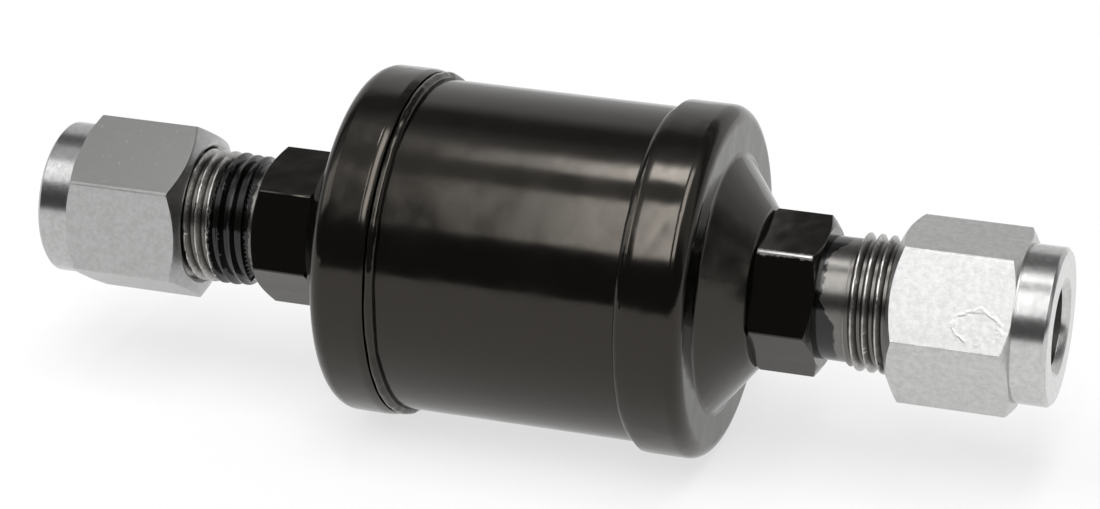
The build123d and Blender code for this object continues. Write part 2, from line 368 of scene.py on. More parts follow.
def nut_relief(tree, millimetres, turned, scuffed):
    """Normal of the plate: draw marks and shallow dents, or turning marks where it was turned."""
    drawn = add_node(tree, "ShaderNodeMapping", {
        "Vector": millimetres, "Scale": (DRAW_MARK_STRETCH, DRAW_MARKS_PER_MM, DRAW_MARKS_PER_MM),
    }).outputs[0]
    ringed = add_node(tree, "ShaderNodeMapping", {
        "Vector": millimetres,
        "Scale": (TURNING_MARKS_PER_MM, TURNING_MARK_STRETCH, TURNING_MARK_STRETCH),
    }).outputs[0]
    draw_marks, turning_marks = [add_node(tree, "ShaderNodeTexNoise", {
        "Vector": place, "Scale": 1.0, "Detail": 2.0,
    }).outputs[0] for place in (drawn, ringed)]
    marks = add_node(tree, "ShaderNodeMix", {
        "Factor": turned, "A": draw_marks, "B": turning_marks,
    }, data_type="FLOAT").outputs["Result"]
    lines = add_node(tree, "ShaderNodeBump", {"Height": marks, "Distance": MARK_MM * MM}).outputs[0]
    dents = add_node(tree, "ShaderNodeTexNoise", {
        "Vector": millimetres, "Scale": MOTTLE_PER_MM, "Detail": 3.0, "Roughness": 0.6,
    }).outputs[0]
    dented = add_node(tree, "ShaderNodeBump", {
        "Height": dents, "Distance": DENT_MM * MM, "Normal": lines,
    }).outputs[0]
    if scuffed:
        dented = add_node(tree, "ShaderNodeBump", {
            "Height": scuff_height(tree, millimetres), "Distance": SCUFF_MM * MM,
            "Normal": dented,
        }).outputs[0]
    return add_node(tree, "ShaderNodeMix", {
        "Factor": turned, "A": dented, "B": lines,
    }, data_type="VECTOR").outputs["Result"]


def plated_nut(name, collar_x, shades, flat_shade, scuffed):
    """Zinc plate: satin where the bar was drawn, bright from the collar's station outwards.

    One flat gets painted shade by an amount: 0 leaves it like the others, 1 hides its own shades.
    """
    material, tree, shader, millimetres = new_finish(name)
    turned = add_node(tree, "ShaderNodeMath", {
        0: axis_places(tree, millimetres)[0], 1: collar_x / MM,
    }, operation="GREATER_THAN").outputs[0]
    grain = add_node(tree, "ShaderNodeTexNoise", {
        "Vector": millimetres, "Scale": GRAIN_PER_MM, "Detail": 3.0, "Roughness": 0.6,
    }).outputs[0]
    satin = add_node(tree, "ShaderNodeMapRange", {
        "Value": grain, "From Min": NOISE_SPREAD[0], "From Max": NOISE_SPREAD[1],
        "To Min": SATIN_ROUGHNESS[0], "To Max": SATIN_ROUGHNESS[1],
    }).outputs[0]
    roughness = add_node(tree, "ShaderNodeMix", {
        "Factor": turned, "A": satin, "B": TURNED_ROUGHNESS,
    }, data_type="FLOAT").outputs["Result"]
    tone = add_node(tree, "ShaderNodeMix", {
        "Factor": painted_flat_shade(tree, millimetres, flat_shade),
        "A": mottled_zinc_colour(tree, millimetres, shades), "B": linear(FLAT_SHADE_GREY),
    }, data_type="RGBA").outputs["Result"]
    set_inputs(tree, shader, {
        "Base Color": tone, "Roughness": roughness, "Metallic": 1.0,
        "Normal": nut_relief(tree, millimetres, turned, scuffed),
    })
    return material


inlet_collar_x = -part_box("inlet_nut")[0][0] - NUT_COLLAR_LENGTH
outlet_collar_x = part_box("outlet_nut")[1][0] - NUT_COLLAR_LENGTH
nut_finish = {
    # The inlet's nut takes the darker greys and the painted shade on one flat.
    "inlet": plated_nut("zinc_plated_steel_inlet", inlet_collar_x, SHADED_ZINC, 0.9, False),
    "outlet": plated_nut("zinc_plated_steel_outlet", outlet_collar_x, PLAIN_ZINC, 0.0, True),
}
print("finishes:", *(finish.name for finish in nut_finish.values()))

# %% [markdown]
# ## Threads: half painted, half bare
# The fittings were brazed into the caps before painting, so the spray covers their hexagons and
# fades out over the neck and the first threads. The edge of that spray isn't straight: it wanders,
# and single droplets land beyond it, and on the side that was turned away from the gun it starts
# nearer to the hexagon. A mask could be painted by hand, but one mask along the axis, shaken by
# noise, gives the same kind of edge from every side. At the inlet the paint has also filled the
# first grooves, and it leaves a bright ring bare at the foot of the hexagon. In the grooves and on
# the neck the bare steel is painted darker, partly as grime and partly as painted shade, and the
# crests stay bright.

# %% Overspray
THREAD_STEEL = "#bdbcb9"
# Darker steel for the grooves and the neck: grime, and painted shade as well.
GROOVE_GRIME_AND_SHADE = "#6a6865"
DROPLETS_PER_MM = 1.3
EDGE_WANDER_MM = 1.1
EDGE_BLUR_MM = 0.08
NECK_END_MM = (37.4, 37.0)
NECK_CLEAN_AND_LIT_SHARE = 0.10
GROOVE_TO_CREST_MM = (7.25, 7.85)
STAIN_EDGES, STAINED_SHARE = (0.3, 0.6), 0.4
SHELTERED_SIDE = (0.0, -0.74, 0.67)
SHELTER_EDGES_MM = (6.7, 5.2)
THREAD_ROUGHNESS = (0.14, 0.27)
PAST_THE_END_MM = 60.0
BARE_SPANS_MM = {
    "inlet": ((34.0, 34.8), (39.7, PAST_THE_END_MM)),
    "outlet": ((34.7, PAST_THE_END_MM),),
}
PAINT_DRIFT_MM = {"inlet": 0.0, "outlet": 1.7}


def enamel_over(tree, shader, millimetres, bare, steel, roughness):
    """Dress a shader in enamel where bare is 0 and in steel where it is 1."""
    tone, sheen = [add_node(tree, "ShaderNodeMix", {
        "Factor": bare, "A": painted, "B": metal,
    }, data_type=kind).outputs["Result"] for painted, metal, kind in (
        (linear(ENAMEL), steel, "RGBA"), (*roughness, "FLOAT"),
    )]
    set_inputs(tree, shader, {
        "Base Color": tone, "Metallic": bare, "Roughness": sheen,
        "Normal": enamel_relief(tree, millimetres),
    })


def bare_steel_mask(tree, millimetres, along, drops, end):
    """1 on the bare spans along the axis, 0 on the enamel, with ragged ends.

    Away from the sheltered side the enamel drifts further along the axis.
    """
    centred = add_node(tree, "ShaderNodeMath", {0: drops, 1: 0.5}, operation="SUBTRACT").outputs[0]
    wandering = add_node(tree, "ShaderNodeMath", {
        0: centred, 1: EDGE_WANDER_MM, 2: along,
    }, operation="MULTIPLY_ADD").outputs[0]
    sheltered = add_node(tree, "ShaderNodeVectorMath", {
        0: millimetres, 1: SHELTERED_SIDE,
    }, operation="DOT_PRODUCT").outputs["Value"]
    drift = add_node(tree, "ShaderNodeMapRange", {
        "Value": sheltered, "From Min": SHELTER_EDGES_MM[0], "From Max": SHELTER_EDGES_MM[1],
        "To Max": PAINT_DRIFT_MM[end],
    }).outputs[0]
    shaken = add_node(tree, "ShaderNodeMath", {
        0: wandering, 1: drift,
    }, operation="SUBTRACT").outputs[0]
    bare = 0.0
    for start, stop in BARE_SPANS_MM[end]:
        span = window(
            tree, shaken, start - EDGE_BLUR_MM, start + EDGE_BLUR_MM,
            stop - EDGE_BLUR_MM, stop + EDGE_BLUR_MM, "LINEAR",
        )
        bare = add_node(tree, "ShaderNodeMath", {0: span, 1: bare}, operation="MAXIMUM").outputs[0]
    return bare


def shaded_grimy_steel_colour(tree, along, radius, drops):
    """Steel darker in grooves and on the neck, for grime and painted shade, bright on crests."""
    crests = add_node(tree, "ShaderNodeMapRange", {
        "Value": radius, "From Min": GROOVE_TO_CREST_MM[0], "From Max": GROOVE_TO_CREST_MM[1],
    }).outputs[0]
    neck = add_node(tree, "ShaderNodeMapRange", {
        "Value": along, "From Min": NECK_END_MM[0], "From Max": NECK_END_MM[1],
        "To Max": NECK_CLEAN_AND_LIT_SHARE,
    }).outputs[0]
    clean_and_lit = add_node(tree, "ShaderNodeMath", {0: crests, 1: neck}, operation="MAXIMUM").outputs[0]
    stained = add_node(tree, "ShaderNodeMapRange", {
        "Value": drops, "From Min": STAIN_EDGES[0], "From Max": STAIN_EDGES[1],
        "To Min": STAINED_SHARE,
    }).outputs[0]
    brightness = add_node(tree, "ShaderNodeMath", {
        0: clean_and_lit, 1: stained,
    }, operation="MULTIPLY").outputs[0]
    return add_node(tree, "ShaderNodeMix", {
        "Factor": brightness, "A": linear(GROOVE_GRIME_AND_SHADE), "B": linear(THREAD_STEEL),
    }, data_type="RGBA").outputs["Result"]


def oversprayed_thread(end):
    """Zinc plated thread under the ragged edge of black overspray."""
    material, tree, shader, millimetres = new_finish("oversprayed_steel_" + end)
    along, radius = axis_places(tree, millimetres)
    drops = add_node(tree, "ShaderNodeTexNoise", {
        "Vector": millimetres, "Scale": DROPLETS_PER_MM, "Detail": 4.0, "Roughness": 0.7,
    }).outputs[0]
    bare = bare_steel_mask(tree, millimetres, along, drops, end)
    steel = shaded_grimy_steel_colour(tree, along, radius, drops)
    enamel_over(tree, shader, millimetres, bare, steel, THREAD_ROUGHNESS)
    return material


thread_finish = {end: oversprayed_thread(end) for end in ("inlet", "outlet")}
print("finishes:", *(finish.name for finish in thread_finish.values()))

# %% [markdown]
# ### Hexagons with a rubbed corner
# A spanner rubs the enamel off a hexagon's corners first, down to the bright steel. The wear could
# be modelled as lost paint, but the film is too thin to show a step. The corners are what lies
# furthest from the axis, so the distance from the axis, roughened by noise, is the mask, and a
# direction keeps it to the one corner that was gripped.

# %% Scuffed enamel
HEX_CORNER_MM = 9.28
RUB_EDGES_MM = (HEX_CORNER_MM + 0.18, HEX_CORNER_MM + 0.26)
CORNER_REACH_MM = (HEX_CORNER_MM - 0.9, HEX_CORNER_MM - 0.6)
SCRATCHES_PER_MM, SCRATCH_REACH_MM = 1.6, 0.5
RUBBED_CORNER = {"inlet": math.radians(-150), "outlet": math.radians(52)}
HEXAGON_ROUGHNESS = (0.10, 0.35)


def painted_hexagon(end):
    """Enamel whose corner is rubbed to the steel on one side of the hexagon."""
    material, tree, shader, millimetres = new_finish("enamelled_hexagon_" + end)
    radius = axis_places(tree, millimetres)[1]
    side = add_node(tree, "ShaderNodeVectorMath", {
        0: millimetres, 1: facing(RUBBED_CORNER[end]),
    }, operation="DOT_PRODUCT").outputs["Value"]
    scratches = add_node(tree, "ShaderNodeTexNoise", {
        "Vector": millimetres, "Scale": SCRATCHES_PER_MM, "Detail": 6.0, "Roughness": 0.75,
    }).outputs[0]
    rubbed = add_node(tree, "ShaderNodeMath", {
        0: scratches, 1: SCRATCH_REACH_MM, 2: radius,
    }, operation="MULTIPLY_ADD").outputs[0]
    masks = [add_node(tree, "ShaderNodeMapRange", {
        "Value": value, "From Min": edges[0], "From Max": edges[1],
    }).outputs[0] for value, edges in ((rubbed, RUB_EDGES_MM), (side, CORNER_REACH_MM))]
    worn = add_node(tree, "ShaderNodeMath", {0: masks[0], 1: masks[1]}, operation="MULTIPLY").outputs[0]
    enamel_over(tree, shader, millimetres, worn, linear(THREAD_STEEL), HEXAGON_ROUGHNESS)
    set_inputs(tree, shader, {"Specular Tint": linear(FILM_TINT), "IOR": FILM_IOR})
    return material


hexagon_finish = {end: painted_hexagon(end) for end in ("inlet", "outlet")}
print("finishes:", *(finish.name for finish in hexagon_finish.values()))

# %% [markdown]
# ## What the can hides
# The inner pieces are never seen in the finished drier, but each still gets the finish that it would
# have on the bench: tinned copper, braze filler, moulded desiccant, felt and plain steel. They
# differ only in a few numbers, so one function makes them all.

# %% Inner finishes
def inner_finish(name, dark, light, patches_per_mm, roughness, metallic, relief_mm):
    """A matt or metallic finish whose tone and height follow one noise."""
    material, tree, shader, millimetres = new_finish(name)
    patches = add_node(tree, "ShaderNodeTexNoise", {
        "Vector": millimetres, "Scale": patches_per_mm, "Detail": 4.0,
    }).outputs[0]
    tone = add_node(tree, "ShaderNodeMix", {
        "Factor": patches, "A": linear(dark), "B": linear(light),
    }, data_type="RGBA").outputs["Result"]
    bump = add_node(tree, "ShaderNodeBump", {
        "Height": patches, "Distance": relief_mm * MM,
    }).outputs[0]
    set_inputs(tree, shader, {
        "Base Color": tone, "Roughness": roughness, "Metallic": metallic, "Normal": bump,
    })
    return material


tinned_copper = inner_finish("tinned_copper", "#b9a793", "#d8d2c8", 0.8, 0.3, 1.0, 0.004)
braze_filler = inner_finish("braze_filler", "#a5773c", "#d9b26a", 1.2, 0.35, 1.0, 0.02)
moulded_desiccant = inner_finish("moulded_desiccant", "#a8977c", "#cdbf9f", 2.5, 0.9, 0.0, 0.05)
needled_felt = inner_finish("needled_felt", "#b9b4a6", "#e4e0d5", 6.0, 1.0, 0.0, 0.06)
plain_steel = inner_finish("plain_steel", "#8c8c8e", "#b5b5b6", 1.5, 0.32, 1.0, 0.004)
woven_screen = inner_finish("woven_steel_screen", "#6f6f70", "#a9a9aa", 8.0, 0.45, 1.0, 0.02)
print("materials so far:", len(bpy.data.materials))

# %% [markdown]
# ## Soft edges
# No painted or plated edge is truly sharp: the film draws back from it and leaves a small radius,
# and that radius is what catches the light. A bevel in the shader would fake it, but the outline
# would stay sharp, so the edge is rounded in the mesh. A construction node's mesh is a set of loose
# triangles, so a copy of it is merged first, the flat triangles are joined up, and every outer edge
# that turns by more than a given angle is bevelled. Inner corners stay as the cutter left them.

# %% A copy of a node with rounded edges
MERGE_DISTANCE = 0.001 * MM
FLAT_ANGLE = math.radians(0.5)
SHARP_ANGLE = math.radians(25)


def rounded_copy(node, edge_radius, segments):
    """Mesh of a construction node, merged, with its sharp outer edges rounded off."""
    shape = bmesh.new()
    shape.from_mesh(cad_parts[node].data)
    bmesh.ops.remove_doubles(shape, verts=shape.verts, dist=MERGE_DISTANCE)
    bmesh.ops.dissolve_limit(shape, angle_limit=FLAT_ANGLE, verts=shape.verts, edges=shape.edges)
    sharp = [edge for edge in shape.edges if edge.is_convex and edge.calc_face_angle() > SHARP_ANGLE]
    bmesh.ops.bevel(
        shape, geom=sharp, offset=edge_radius, offset_type="OFFSET",
        segments=segments, profile=0.5, affect="EDGES", clamp_overlap=True,
    )
    mesh = bpy.data.meshes.new(node + "_rounded")
    shape.to_mesh(mesh)
    shape.free()
    return mesh


print("edges are rounded from", round(math.degrees(SHARP_ANGLE)), "degrees up")

# %% [markdown]
# ### Plain pieces
# Modifiers are handy while a piece grows, but a finished piece is a plain mesh that anyone can open.
# So each modifier's result is taken as soon as it is made. A large flat face must also look flat up
# to its rounded edge, so the corner normals are weighted by face area, and the small faces of the
# bevel do all the bending.

# %% Making plain pieces
SMOOTH_ANGLE = math.radians(30)


def piece_from(name, mesh):
    """A new object at the origin that shows the mesh."""
    piece = bpy.data.objects.new(name, mesh)
    bpy.context.scene.collection.objects.link(piece)
    return piece


def take_result(piece):
    """Turn what the modifiers make into the piece's own plain mesh."""
    evaluated = piece.evaluated_get(bpy.context.evaluated_depsgraph_get())
    mesh = bpy.data.meshes.new_from_object(evaluated)
    piece.modifiers.clear()
    piece.data = mesh
    mesh.name = piece.name


def shade(piece):
    """Smooth shading that keeps sharp edges, led by the normals of the large faces."""
    piece.data.shade_smooth()
    piece.data.set_sharp_from_angle(angle=SMOOTH_ANGLE)
    weighted = piece.modifiers.new("weighted", "WEIGHTED_NORMAL")
    weighted.mode = "FACE_AREA"
    weighted.weight = 100
    weighted.keep_sharp = True
    take_result(piece)


def grow(name, tree, blank, sizes):
    """Run a Geometry Nodes tree on a blank mesh and return its result as a plain object."""
    piece = piece_from(name, blank)
    modifier = piece.modifiers.new(name, "NODES")
    modifier.node_group = tree
    for item in tree.interface.items_tree:
        if item.item_type == "SOCKET" and item.in_out == "INPUT" and item.name in sizes:
            modifier[item.identifier] = sizes[item.name]
    take_result(piece)
    shade(piece)
    return piece


print("faces shade smoothly up to", round(math.degrees(SMOOTH_ANGLE)), "degrees")

# %% [markdown]
# ## Screw threads
# A thread is one ridge that climbs one pitch for each turn. A stack of rings would look like one
# from the front, but not where it starts, and it couldn't screw. Here a Geometry Nodes tree does
# what a lathe does: it sweeps the thread's section along a spiral, and then takes the swept tool
# away from the blank, as a cutter would, or welds it on as the ridge inside a nut. Both use the same
# spiral, so a nut's ridge lies in its fitting's groove, and stays there when the nut turns and
# travels by one pitch a turn.

# %% The thread tree
SPIRAL_STEPS = 72
THREAD_SIZES = (
    "Start", "Pitch", "Turns", "Inner radius", "Inner width", "Outer radius", "Outer width",
    "Phase", "Facing",
)


def open_tree(name, blank, sizes, result):
    """A new geometry tree with a blank if it needs one, sizes, a finish and a result."""
    tree = bpy.data.node_groups.new(name, "GeometryNodeTree")
    sockets = tree.interface
    if blank:
        sockets.new_socket("Blank", in_out="INPUT", socket_type="NodeSocketGeometry")
    for size in sizes:
        sockets.new_socket(size, in_out="INPUT", socket_type="NodeSocketFloat")
    sockets.new_socket("Finish", in_out="INPUT", socket_type="NodeSocketMaterial")
    sockets.new_socket(result, in_out="OUTPUT", socket_type="NodeSocketGeometry")
    return tree, add_node(tree, "NodeGroupInput").outputs


def close_tree(tree, geometry, finish):
    """End a tree in real geometry with its finish."""
    real = add_node(tree, "GeometryNodeRealizeInstances", {0: geometry})
    finished = add_node(tree, "GeometryNodeSetMaterial", {0: real.outputs[0], "Material": finish})
    add_node(tree, "NodeGroupOutput", {0: finished.outputs[0]})


def thread_section(tree, given):
    """Trapezium of the thread, from the inner radius outwards."""
    depth = add_node(tree, "ShaderNodeMath", {
        0: given["Outer radius"], 1: given["Inner radius"],
    }, operation="SUBTRACT").outputs[0]
    corners = []
    for radius, width, side in (
        (0.0, "Inner width", -0.5), (0.0, "Inner width", 0.5),
        (depth, "Outer width", 0.5), (depth, "Outer width", -0.5),
    ):
        half = add_node(tree, "ShaderNodeMath", {
            0: given[width], 1: side,
        }, operation="MULTIPLY").outputs[0]
        corners.append(add_node(tree, "ShaderNodeCombineXYZ", {"X": radius, "Y": half}).outputs[0])
    return add_node(tree, "GeometryNodeCurvePrimitiveQuadrilateral", {
        f"Point {place}": corner for place, corner in enumerate(corners, 1)
    }, mode="POINTS").outputs[0]


def thread_tree(name, operation):
    """Sweep a section along a right-hand spiral and join it to, or cut it from, the blank."""
    tree, given = open_tree(name, True, THREAD_SIZES, "Threaded")
    height = add_node(tree, "ShaderNodeMath", {
        0: given["Pitch"], 1: given["Turns"],
    }, operation="MULTIPLY")
    spiral = add_node(tree, "GeometryNodeCurveSpiral", {
        "Resolution": SPIRAL_STEPS, "Rotations": given["Turns"], "Height": height.outputs[0],
        "Start Radius": given["Inner radius"], "End Radius": given["Inner radius"], "Reverse": True,
    })
    upright = add_node(tree, "GeometryNodeSetCurveNormal", {"Curve": spiral.outputs[0]}, mode="Z_UP")
    swept = add_node(tree, "GeometryNodeCurveToMesh", {
        "Curve": upright.outputs[0], "Profile Curve": thread_section(tree, given),
        "Fill Caps": True,
    })
    outward = add_node(tree, "GeometryNodeFlipFaces", {"Mesh": swept.outputs[0]})
    climb = add_node(tree, "ShaderNodeCombineXYZ", {"Z": given["Start"]})
    twist = add_node(tree, "ShaderNodeCombineXYZ", {"Z": given["Phase"]})
    placed = add_node(tree, "GeometryNodeTransform", {
        "Geometry": outward.outputs[0], "Translation": climb.outputs[0],
        "Rotation": twist.outputs[0],
    })
    lean = add_node(tree, "ShaderNodeCombineXYZ", {"Y": given["Facing"]})
    tool = add_node(tree, "GeometryNodeTransform", {
        "Geometry": placed.outputs[0], "Rotation": lean.outputs[0],
    })
    joined = add_node(tree, "GeometryNodeMeshBoolean", operation=operation, solver="EXACT")
    blank_input = "Mesh 1" if operation == "DIFFERENCE" else "Mesh 2"
    tree.links.new(given["Blank"], joined.inputs[blank_input])
    tree.links.new(tool.outputs[0], joined.inputs["Mesh 2"])
    close_tree(tree, joined.outputs["Mesh"], given["Finish"])
    return tree


cut_thread = thread_tree("cut_outside_thread", "DIFFERENCE")
weld_thread = thread_tree("raise_inside_thread", "UNION")
print("thread trees:", cut_thread.name, weld_thread.name)

# %% [markdown]
# ### The numbers of a 5/8-18 thread
# Eighteen turns to the inch, flanks at 60 degrees to each other. The groove's section could be typed
# in, but it follows from the pitch: a ridge is an eighth of the pitch wide at its crest and widens
# by the flanks' slope. The nut's ridge is the groove less a little backlash.

# %% Thread section
PITCH = 25.4 * MM / 18
CREST_RADIUS = 15.875 * MM / 2
ROOT_RADIUS = 7.16 * MM
NUT_CREST_RADIUS = 7.30 * MM
NUT_ROOT_RADIUS = 8.05 * MM
BACKLASH = 0.04 * MM
CUTTER_MARGIN = 0.05 * MM
FLANK_SLOPE = math.tan(math.radians(30))
END_TURN = {"inlet": -math.pi / 2, "outlet": math.pi / 2}


def groove_width(radius):
    """Width of the gap between two ridges of the outside thread, at a radius."""
    ridge = PITCH / 8 + 2 * (CREST_RADIUS - radius) * FLANK_SLOPE
    return PITCH - ridge


def spiral_phase(start):
    """Angle at which the common spiral passes a station on the axis."""
    return 2 * math.pi * (start / PITCH % 1)


def sweep_sizes(start, stop, inner, outer, end, finish, phase=0.0):
    """Inputs of a thread tree: inner and outer are each a radius and a width."""
    return {
        "Start": start, "Pitch": PITCH, "Turns": (stop - start) / PITCH,
        "Inner radius": inner[0], "Inner width": inner[1],
        "Outer radius": outer[0], "Outer width": outer[1],
        "Phase": spiral_phase(start) + phase, "Facing": END_TURN[end], "Finish": finish,
    }


print("groove at the root:", round(groove_width(ROOT_RADIUS) / MM, 3), "mm wide")

# %% [markdown]
# ### Cutting the fittings
# The spiral starts in the relief neck, where the cutter is still in the air, and runs out past the
# flare end's chamfer. The inlet is the outlet turned round, so only the facing angle differs. At the
# inlet, thick paint has closed the first grooves: a shallow second ridge, half a turn off the
# first, fills them and leaves the ripple that paint leaves over a thread.
#
# A cut through a faceted neck leaves long thin triangles, which shade in teeth. Finer facets would
# only make finer teeth, so the faces on the neck get the normals of a true cylinder.

# %% Threaded fittings
NOSE_LENGTH = 2.7 * MM
THREAD_LENGTH = 13.0 * MM
RUN_IN = 0.6 * MM
RUN_OUT = 0.8 * MM
HEX_EDGE_RADIUS = 0.26 * MM
HEX_EDGE_SEGMENTS = 3
RIM_ROOM = 0.03 * MM
HEX_END_X = 34.1 * MM
NECK_RADIUS = 7.15 * MM
ROUND_TOLERANCE = 0.03 * MM
LEVEL_TOLERANCE = 0.05
CLOGGED_SPAN = (35.45 * MM, 37.9 * MM)
CLOG_FOOT = (ROOT_RADIUS - 0.2 * MM, 1.15 * MM)
CLOG_TOP = (CREST_RADIUS - 0.12 * MM, 0.30 * MM)


def fitting_blank(node, step_x):
    """Rounded copy of a fitting before its thread is cut.

    The step at the nose's foot lies a hair lower, so that the bonnet's rim clears it when the nut
    is tight.
    """
    blank = rounded_copy(node, HEX_EDGE_RADIUS, HEX_EDGE_SEGMENTS)
    for vertex in blank.vertices:
        if abs(abs(vertex.co.x) - step_x) < RIM_ROOM:
            vertex.co.x -= math.copysign(RIM_ROOM, vertex.co.x)
    return blank


def true_round_normals(mesh, radius):
    """Give the faces on one cylinder round the axis the normals of a true cylinder."""
    normals = [corner.vector.copy() for corner in mesh.corner_normals]
    for face in mesh.polygons:
        off_cylinder = abs(math.hypot(face.center.y, face.center.z) - radius)
        if abs(face.normal.x) < LEVEL_TOLERANCE and off_cylinder < ROUND_TOLERANCE:
            for loop in face.loop_indices:
                point = mesh.vertices[mesh.loops[loop].vertex_index].co
                normals[loop] = Vector((0.0, point.y, point.z)).normalized()
    mesh.normals_split_custom_set(normals)


def threaded_fitting(end):
    """Fitting with its real thread, and its thread and hexagon finishes."""
    node = end + "_fitting"
    name = node + "_threaded"
    low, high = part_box(node)
    step_x = max(abs(low[0]), abs(high[0])) - NOSE_LENGTH
    outside = CREST_RADIUS + CUTTER_MARGIN
    piece = grow(name, cut_thread, fitting_blank(node, step_x), sweep_sizes(
        step_x - THREAD_LENGTH - RUN_IN, step_x + RUN_OUT,
        (ROOT_RADIUS, groove_width(ROOT_RADIUS)), (outside, groove_width(outside)),
        end, thread_finish[end],
    ))
    if end == "inlet":
        cut = piece.data
        bpy.data.objects.remove(piece)
        piece = grow(name, weld_thread, cut, sweep_sizes(
            *CLOGGED_SPAN, CLOG_FOOT, CLOG_TOP, end, thread_finish[end], math.pi,
        ))
    true_round_normals(piece.data, NECK_RADIUS)
    piece.data.materials.clear()
    piece.data.materials.append(thread_finish[end])
    piece.data.materials.append(hexagon_finish[end])
    for face in piece.data.polygons:
        face.material_index = int(abs(face.center.x) < HEX_END_X)
    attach(piece, "body")
    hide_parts(node)
    return piece


for end in ("inlet", "outlet"):
    fitting = threaded_fitting(end)
    print(fitting.name, "faces:", len(fitting.data.polygons))

# %% [markdown]
# ### Raising the nuts' threads
# A tap cuts a nut's thread into the wall, but a boolean is surer when it adds: the bore is made as
# wide as the groove's bottom, and the ridge is welded on. It is the groove's own shape, less the
# backlash.

# %% Threaded nuts
NUT_THREAD_DEPTH = 10.3 * MM
NUT_THREAD_MARGIN = 0.9 * MM
NUT_EDGE_RADIUS = 0.08 * MM
NUT_EDGE_SEGMENTS = 2


def threaded_nut(end):
    """Flare nut with a real thread on the wall of its bore."""
    node = end + "_nut"
    low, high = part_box(node)
    start = min(abs(low[0]), abs(high[0])) + NUT_THREAD_MARGIN
    blank = rounded_copy(node, NUT_EDGE_RADIUS, NUT_EDGE_SEGMENTS)
    piece = grow(node + "_threaded", weld_thread, blank, sweep_sizes(
        start, start + NUT_THREAD_DEPTH - 2 * NUT_THREAD_MARGIN,
        (NUT_CREST_RADIUS, groove_width(NUT_CREST_RADIUS) - 2 * BACKLASH),
        (NUT_ROOT_RADIUS, groove_width(NUT_ROOT_RADIUS) - 2 * BACKLASH),
        end, nut_finish[end],
    ))
    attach(piece, node + "_body")
    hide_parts(node)
    return piece


for end in ("inlet", "outlet"):
    nut = threaded_nut(end)
    print(nut.name, "faces:", len(nut.data.polygons))

# %% [markdown]
# ## Caps with soft skirts
# The caps keep their drawn shape. Their skirts end in a lip where the weld's heat and the paint have
# pulled the edge in: at the inlet it slopes and wavers, at the outlet it is nearly straight. The
# skirt's last stretch has no vertices between its edges, so rings are cut into it first. Then each
# vertex of its outer wall, which lies beyond the shell's own radius, is lowered towards the axis,
# by more near the edge, and unevenly by a fixed noise.

# %% End caps
LIP_RINGS = 6
LUMPS_PER_METRE = 300.0
CAP_EDGE_SEGMENTS = 4
LAP_ROOM = 0.3 * MM
LIPS = {
    "inlet": {"radius": 0.25 * MM, "width": 1.05 * MM, "drop": 0.20 * MM, "lump": 0.13 * MM},
    "outlet": {"radius": 0.35 * MM, "width": 0.80 * MM, "drop": 0.03 * MM, "lump": 0.01 * MM},
}
SIDE = {"inlet": -1.0, "outlet": 1.0}
inside_skirt_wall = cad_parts["shell"].dimensions.y / 2 + LAP_ROOM
skirt_edge_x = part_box("outlet_end_cap")[0][0]


def sloping_lip(mesh, side, width, drop, lump):
    """Bend the last stretch of a skirt inwards, by more towards its edge, and unevenly."""
    edge_x = side * skirt_edge_x
    shape = bmesh.new()
    shape.from_mesh(mesh)
    for ring in range(1, LIP_RINGS + 1):
        everything = shape.verts[:] + shape.edges[:] + shape.faces[:]
        station = edge_x + side * width * ring / LIP_RINGS
        bmesh.ops.bisect_plane(shape, geom=everything, plane_co=(station, 0, 0), plane_no=(1, 0, 0))
    for vert in shape.verts:
        radius = math.hypot(vert.co.y, vert.co.z)
        nearness = 1 - (vert.co.x - edge_x) * side / width
        if 0 < nearness <= 1 and radius > inside_skirt_wall:
            lumpiness = 0.5 + 0.5 * noise.noise(vert.co * LUMPS_PER_METRE)
            lower = (radius - drop * nearness ** 2 - lump * nearness * lumpiness) / radius
            vert.co.y *= lower
            vert.co.z *= lower
    shape.to_mesh(mesh)
    shape.free()


def painted_cap(end):
    """End cap with a sloping lip, in enamel."""
    node = end + "_end_cap"
    lip = LIPS[end]
    cap = piece_from(node + "_painted", rounded_copy(node, lip["radius"], CAP_EDGE_SEGMENTS))
    sloping_lip(cap.data, SIDE[end], lip["width"], lip["drop"], lip["lump"])
    shade(cap)
    cap.data.materials.clear()
    cap.data.materials.append(enamel)
    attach(cap, "body")
    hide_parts(node)
    return cap


for end in ("inlet", "outlet"):
    cap = painted_cap(end)
    print(cap.name, "faces:", len(cap.data.polygons))

# %% [markdown]
# ## Weld beads
# Each cap is joined to the shell by a weld that runs once round the can. The inlet's bead was laid
# by hand: it is lumpy, and the lumps shine. The outlet's is small and even. Sculpting would give
# lumps that nobody can repeat, so a Geometry Nodes tree lays a rounded bead along a circle and
# pushes its surface in and out with noise of a fixed seed.

# %% The bead tree
BEAD_SIZES = ("Station", "Ring radius", "Bead radius", "Lump height", "Lumps per metre", "Seed")
BEAD_STEPS, BEAD_SIDES = 720, 20


